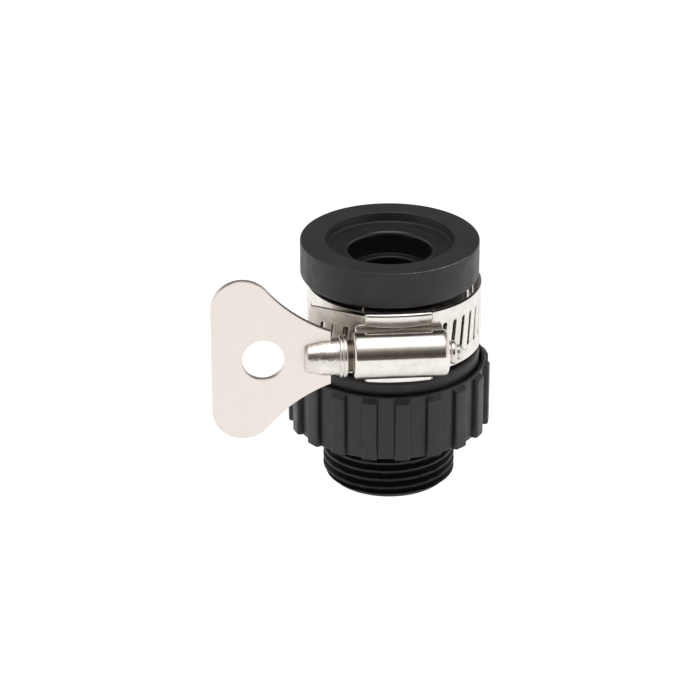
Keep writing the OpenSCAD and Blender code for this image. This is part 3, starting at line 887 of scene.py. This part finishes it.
def make_housing():
    """The cover's shell with end walls around the journals, its flat foot and the level sheet between."""
    end, inner, inside = COVER_END, COVER_END - COVER_T, COVER_R - COVER_T
    tip_hole, collar_hole = TIP_R + 0.06, JOURNAL_R + 0.06
    outline = rounded([
        (tip_hole, -end, 0.15), (COVER_R, -end, 1.15), (COVER_R, end, 1.15), (collar_hole, end, 0.15),
        (collar_hole, inner, 0.1), (inside, inner, 0.5), (inside, -inner, 0.5), (tip_hole, -inner, 0.1),
    ], 7)
    # In the screw's frame the housing's front is at the turned profile's Y below zero.
    open_half = math.acos((SCREW_Y - FLANGE_Y - COVER_T / 2) / (COVER_R - COVER_T / 2))
    points, faces = turned(outline, 120, -math.pi / 2 - (math.pi - open_half), 2 * (math.pi - open_half))
    cover = new_piece("cover_shell", points, faces, SCREW_FRAME)
    flanges, shoulders = [], []
    for side in (-1, 1):
        tongue_z = WALL_Z - 0.05
        corners = rounded([
            (-FOOT_X, 3.1, 0), (FOOT_X, 3.1, 0), (FOOT_X, FOOT_Z, 0.9), (TAB_X, FOOT_Z, 0.2),
            (TAB_X, tongue_z, 0.3), (-TAB_X, tongue_z, 0.3), (-TAB_X, FOOT_Z, 0.2), (-FOOT_X, FOOT_Z, 0.9),
        ], 5)
        flanges.append(straight_bar(
            "one_flange", corners, (0, COVER_T), lambda x, z, t: (x, -FLANGE_Y - t, side * z)))
        # The sheet runs level from the foot to the cover's crown.
        section = rounded([
            (FLANGE_Y + 0.1, 3.6, 0), (SCREW_Y - 0.4, 4.1, 0), (SCREW_Y - 0.4, 4.62, 0.2),
            (FLANGE_Y + COVER_T, 4.5, 0.2), (FLANGE_Y + 0.1, 4.5, 0),
        ], 4)
        shoulders.append(straight_bar(
            "one_shoulder", section, (0.9 - COVER_END, COVER_END - 0.9), lambda y, z, x: (x, -y, side * z)))
    housing = join_pieces("screw_housing", [cover, *flanges])
    soften_edges(housing, 0.12, 2, 50)
    finish_piece(housing, housing_metal, "clamp", "housing_steel", "clamp_housing")
    # The level sheet gets the darker copy of the housing's sheet, as painted shade.
    fold = soften_edges(join_pieces("housing_shoulders", shoulders), 0.12, 2, 50)
    finish_piece(fold, shaded_shoulder_metal, "clamp", "housing_steel")


# Screw: worm, journals, collar and the head that is pressed onto the key

def make_screw():
    """The turned screw from its rounded tip to the collar, and a thin dark film on its journal that is
    painted shade.
    """
    inner = COVER_END - COVER_T - 0.15
    outline = [
        (0, -12.7, 0), (0.25, -12.68, 0.1), (1.2, -11.9, 0.5), (1.55, -11.2, 0.3), (1.25, -10.98, 0.1),
        (1.9, -10.8, 0.3), (TIP_R, -10.4, 0.4), (TIP_R, -9.9, 0.3), (TIP_R - 0.3, -9.45, 0.2),
        (TIP_R, -9.1, 0.1), (TIP_R, -inner, 0.05), (CORE_R, -inner, 0.05),
    ]
    for k in range(-3, 3):
        s = (k + 0.5) * PITCH - SHIFT
        outline += [
            (CORE_R, s - 0.65, 0.12), (WORM_R, s - 0.17, 0.1),
            (WORM_R, s + 0.17, 0.1), (CORE_R, s + 0.65, 0.12),
        ]
    outline += [
        (CORE_R, inner, 0.05), (JOURNAL_R, inner, 0.05), (JOURNAL_R, RING_START, 0.1),
        (RING_R, RING_START, 0.5), (RING_R, 10.95, 0.25), (RING_R - 0.2, 11.1, 0.1), (RING_R, 11.25, 0.25),
        (RING_R, HEAD_START, 0.5), (3.7, HEAD_START + 0.05, 0.05), (3.7, HEAD_START + 0.3, 0),
        (0, HEAD_START + 0.3, 0),
    ]
    screw = smooth_shade(new_piece("worm_and_collar", *turned(rounded(outline, 5), 128), SCREW_FRAME), 38)
    finish_piece(screw, screw_metal, "screw", "screw_steel", "worm_screw")
    # A dark film over the journal, painted shade for the gap beside the cover.
    start, stop, under, over = COVER_END + 0.05, RING_START - 0.02, JOURNAL_R - 0.1, JOURNAL_R + 0.03
    film = [(under, start), (over, start), (over, stop), (under, stop)]
    shade_film = smooth_shade(new_piece("oiled_journal", *turned(film, 96), SCREW_FRAME), 38)
    finish_piece(shade_film, shaded_journal_metal, "screw", "screw_steel")


def make_screw_head():
    """The head that is pressed onto the key: slimmer outwards, with the press's marks above and below."""
    profile = rounded([
        (0, HEAD_START, 0), (WORM_R - 0.05, HEAD_START, 0.1), (WORM_R, 13.0, 0.2),
        (3.72, 15.2, 0.6), (2.95, HEAD_END, 1.0), (0, HEAD_END, 0),
    ], 6)
    dense = []
    for (r0, s0), (r1, s1) in zip(profile, profile[1:]):
        parts = max(1, int(max(abs(s1 - s0), abs(r1 - r0)) / 0.2))
        dense += [(r0 + (r1 - r0) * k / parts, s0 + (s1 - s0) * k / parts) for k in range(parts)]
    dense.append(profile[-1])
    points, faces = turned(dense, 160)
    pressed = []
    for x, y, s in points:
        near = max(0.0, min(1.0, (s - 12.1) / 0.8))
        angle = math.atan2(y, x)
        flat = max(0.0, (abs(math.cos(angle)) - 0.62) / 0.38)
        above = max(0.0, min(1.0, (0.35 - math.cos(angle)) / 0.5))
        along, around = 8.3 * s + 1.9 * math.sin(4 * angle), 17 * angle + 2.3 * math.sin(3.1 * s)
        dents = math.sin(along) * math.sin(around)
        shrink = 1 - near * (0.045 * flat + 0.015 * above * (1 + dents))
        pressed.append((x * shrink, y * shrink, s))
    head = smooth_shade(new_piece("pressed_head", pressed, faces, SCREW_FRAME), 38)
    finish_piece(head, head_metal, "screw", "screw_steel")


# Thumb key: a flat plate with two lobes, hollow flanks and a hole

def on_circle(centre, radius, angle):
    """A point of a circle, as a pair."""
    return tuple(centre + radius * Vector((math.cos(angle), math.sin(angle))))


def key_outline():
    """The plate's outline in (along the screw, height), counter-clockwise."""
    shoulder, lobe = Vector((KEY_S, NECK_H)), Vector((LOBE_S, LOBE_H))
    apart = (lobe - shoulder).length
    reach = FLANK_R + LOBE_R - 0.04
    along = (apart * apart + FLANK_R * FLANK_R - reach * reach) / (2 * apart)
    way = (lobe - shoulder) / apart
    aside = math.sqrt(FLANK_R * FLANK_R - along * along)
    flank = shoulder + along * way + aside * Vector((-way.y, way.x))
    touch = lobe + (flank - lobe) * LOBE_R / reach
    a0 = math.atan2(*(shoulder - flank).yx)
    a1 = math.atan2(*(touch - flank).yx)
    half = [on_circle(flank, FLANK_R, a0 + (a1 - a0) * k / 28) for k in range(28)]
    b0 = math.atan2(*(touch - lobe).yx)
    half += [on_circle(lobe, LOBE_R, b0 - b0 * k / 24) for k in range(25)]
    half += [(LOBE_S + LOBE_R, LOBE_H * (1 - k / 10)) for k in range(1, 10)]
    middle = [(LOBE_S + LOBE_R, 0.0)]
    neck = [(KEY_S, -NECK_H + 2 * NECK_H * k / 10) for k in range(1, 10)]
    return half + middle + [(s, -h) for s, h in reversed(half)] + neck


def make_key():
    """The plate as rings of points from its hole out to its outline, then given its thickness."""
    outline = key_outline()
    count = len(outline)
    hole = []
    for s, h in outline:
        angle = math.atan2(h, s - KEY_HOLE_S)
        hole.append((KEY_HOLE_S + KEY_HOLE_R * math.cos(angle), KEY_HOLE_R * math.sin(angle)))
    rings = [
        hole,
        [((a + 2 * c) / 3, (b + 2 * d) / 3) for (a, b), (c, d) in zip(outline, hole)],
        [((2 * a + c) / 3, (2 * b + d) / 3) for (a, b), (c, d) in zip(outline, hole)],
        outline,
    ]
    # The turned profile's X points down in the screw's frame, so a height above the axis is negative X.
    points = [(-h, 0, s) for ring in rings for s, h in ring]
    faces = [
        (i * count + k, i * count + (k + 1) % count, (i + 1) * count + (k + 1) % count, (i + 1) * count + k)
        for i in range(3)
        for k in range(count)
    ]
    plate = new_piece("thumb_key_plate", points, faces, SCREW_FRAME)
    thicken(plate, KEY_T)
    soften_edges(plate, 0.16, 3, 40)
    finish_piece(plate, key_metal, "screw", "key_steel", "thumb_key")


make_tail()
make_nut()
make_sleeve()
make_rim_flash()
make_band()
make_bridge()
make_housing()
make_screw()
make_screw_head()
make_key()


# Floor, world, lamps and camera

def make_floor():
    """A pale floor, white for the camera; in gloss it dims towards the object, as its own shade there."""
    size = 3.0
    mesh = bpy.data.meshes.new("floor")
    corners = [(-size, -size, 0), (size, -size, 0), (size, size, 0), (-size, size, 0)]
    mesh.from_pydata(corners, [], [(0, 1, 2, 3)])
    floor = bpy.data.objects.new("floor", mesh)
    bpy.context.scene.collection.objects.link(floor)
    material, tree, cloth, where = nodes_of("white floor")
    cloth.inputs["Base Color"].default_value = (0.88, 0.87, 0.86, 1)
    cloth.inputs["Roughness"].default_value = 0.9
    glow = tree.nodes.new("ShaderNodeEmission")
    glow.inputs["Strength"].default_value = 1.1
    path = tree.nodes.new("ShaderNodeLightPath")
    away = tree.nodes.new("ShaderNodeVectorMath")
    away.operation = "LENGTH"
    tree.links.new(where, away.inputs[0])
    shade = spread(tree, away.outputs["Value"], 0.2, 1.0, 0.018, 0.05)
    share = calculated(tree, "MULTIPLY", path.outputs["Is Glossy Ray"], shade)
    for label in ("Is Camera Ray", "Is Transmission Ray"):
        share = calculated(tree, "MAXIMUM", share, path.outputs[label])
    mix = tree.nodes.new("ShaderNodeMixShader")
    tree.links.new(share, mix.inputs["Fac"])
    tree.links.new(cloth.outputs[0], mix.inputs[1])
    tree.links.new(glow.outputs[0], mix.inputs[2])
    tree.links.new(mix.outputs[0], tree.nodes["Material Output"].inputs["Surface"])
    mesh.materials.append(material)


def make_world():
    """White for the camera and grey fill; in gloss a white ceiling, bright sides, dim front and back."""
    world = bpy.data.worlds.new("studio")
    bpy.context.scene.world = world
    world.use_nodes = True
    tree = world.node_tree
    tree.nodes.clear()
    link = tree.links.new
    out = tree.nodes.new("ShaderNodeOutputWorld")
    path = tree.nodes.new("ShaderNodeLightPath")
    where = tree.nodes.new("ShaderNodeTexCoord")
    split = tree.nodes.new("ShaderNodeSeparateXYZ")
    link(where.outputs["Generated"], split.inputs[0])
    front = ramp(tree, split.outputs["Z"], [
        (0.0, (0.13, 0.115, 0.1)), (0.36, (0.07, 0.06, 0.05)), (0.6, (0.16, 0.148, 0.135)),
        (0.75, (0.42, 0.4, 0.38)), (0.86, (1.1, 1.09, 1.07)), (0.95, (2.6, 2.6, 2.58)),
    ])
    back = ramp(tree, split.outputs["Z"], [
        (0.0, (0.2, 0.19, 0.18)), (0.7, (0.16, 0.15, 0.14)),
        (0.89, (0.4, 0.38, 0.37)), (0.98, (2.2, 2.2, 2.2)),
    ])
    sideways = calculated(tree, "ABSOLUTE", split.outputs["X"])
    room = mixed(tree, spread(tree, split.outputs["Y"], 0.0, 1.0, -0.1, 0.1), front, back)
    room = mixed(tree, spread(tree, sideways, 0.0, 1.0, 0.45, 0.85), room, (0.9, 0.89, 0.88))
    gloss = tree.nodes.new("ShaderNodeBackground")
    link(room, gloss.inputs["Color"])
    fill = tree.nodes.new("ShaderNodeBackground")
    fill.inputs["Color"].default_value = (0.3, 0.3, 0.3, 1)
    paper = tree.nodes.new("ShaderNodeBackground")
    paper.inputs["Color"].default_value = (1, 1, 1, 1)
    seen = tree.nodes.new("ShaderNodeMixShader")
    link(path.outputs["Is Glossy Ray"], seen.inputs["Fac"])
    link(fill.outputs[0], seen.inputs[1])
    link(gloss.outputs[0], seen.inputs[2])
    direct = calculated(tree, "MAXIMUM", path.outputs["Is Camera Ray"], path.outputs["Is Transmission Ray"])
    final = tree.nodes.new("ShaderNodeMixShader")
    link(direct, final.inputs["Fac"])
    link(seen.outputs[0], final.inputs[1])
    link(paper.outputs[0], final.inputs[2])
    link(final.outputs[0], out.inputs["Surface"])


def make_lamp(name, place, aim, size, power):
    """A soft square lamp that faces a point."""
    data = bpy.data.lights.new(name, "AREA")
    data.shape = "RECTANGLE"
    data.size, data.size_y = size
    data.energy = power
    lamp = bpy.data.objects.new(name, data)
    bpy.context.scene.collection.objects.link(lamp)
    lamp.location = place
    lamp.rotation_mode = "QUATERNION"
    lamp.rotation_quaternion = (Vector(aim) - Vector(place)).to_track_quat("-Z", "Y")
    lamp.visible_glossy = False


def make_camera():
    """The photograph's view: 25.5 degrees down, from the front."""
    data = bpy.data.cameras.new("camera")
    data.lens = 157.27
    data.sensor_width = 36.0
    data.clip_start, data.clip_end = 0.01, 20
    camera = bpy.data.objects.new("camera", data)
    bpy.context.scene.collection.objects.link(camera)
    camera.location = (-0.00781, -0.55044, 0.28981)
    camera.rotation_euler = (math.radians(64.47), 0, 0)
    bpy.context.scene.camera = camera


make_floor()
make_world()
make_lamp("overhead box", (-0.05, -0.08, 0.55), (0, 0, 0.03), (0.5, 0.34), 2.4)
make_lamp("left box", (-0.6, -0.3, 0.35), (0, 0, 0.03), (0.3, 0.4), 0.35)
make_lamp("right box", (0.6, -0.15, 0.3), (0, 0, 0.03), (0.2, 0.4), 0.45)
make_camera()
bpy.context.scene.view_settings.view_transform = "Standard"
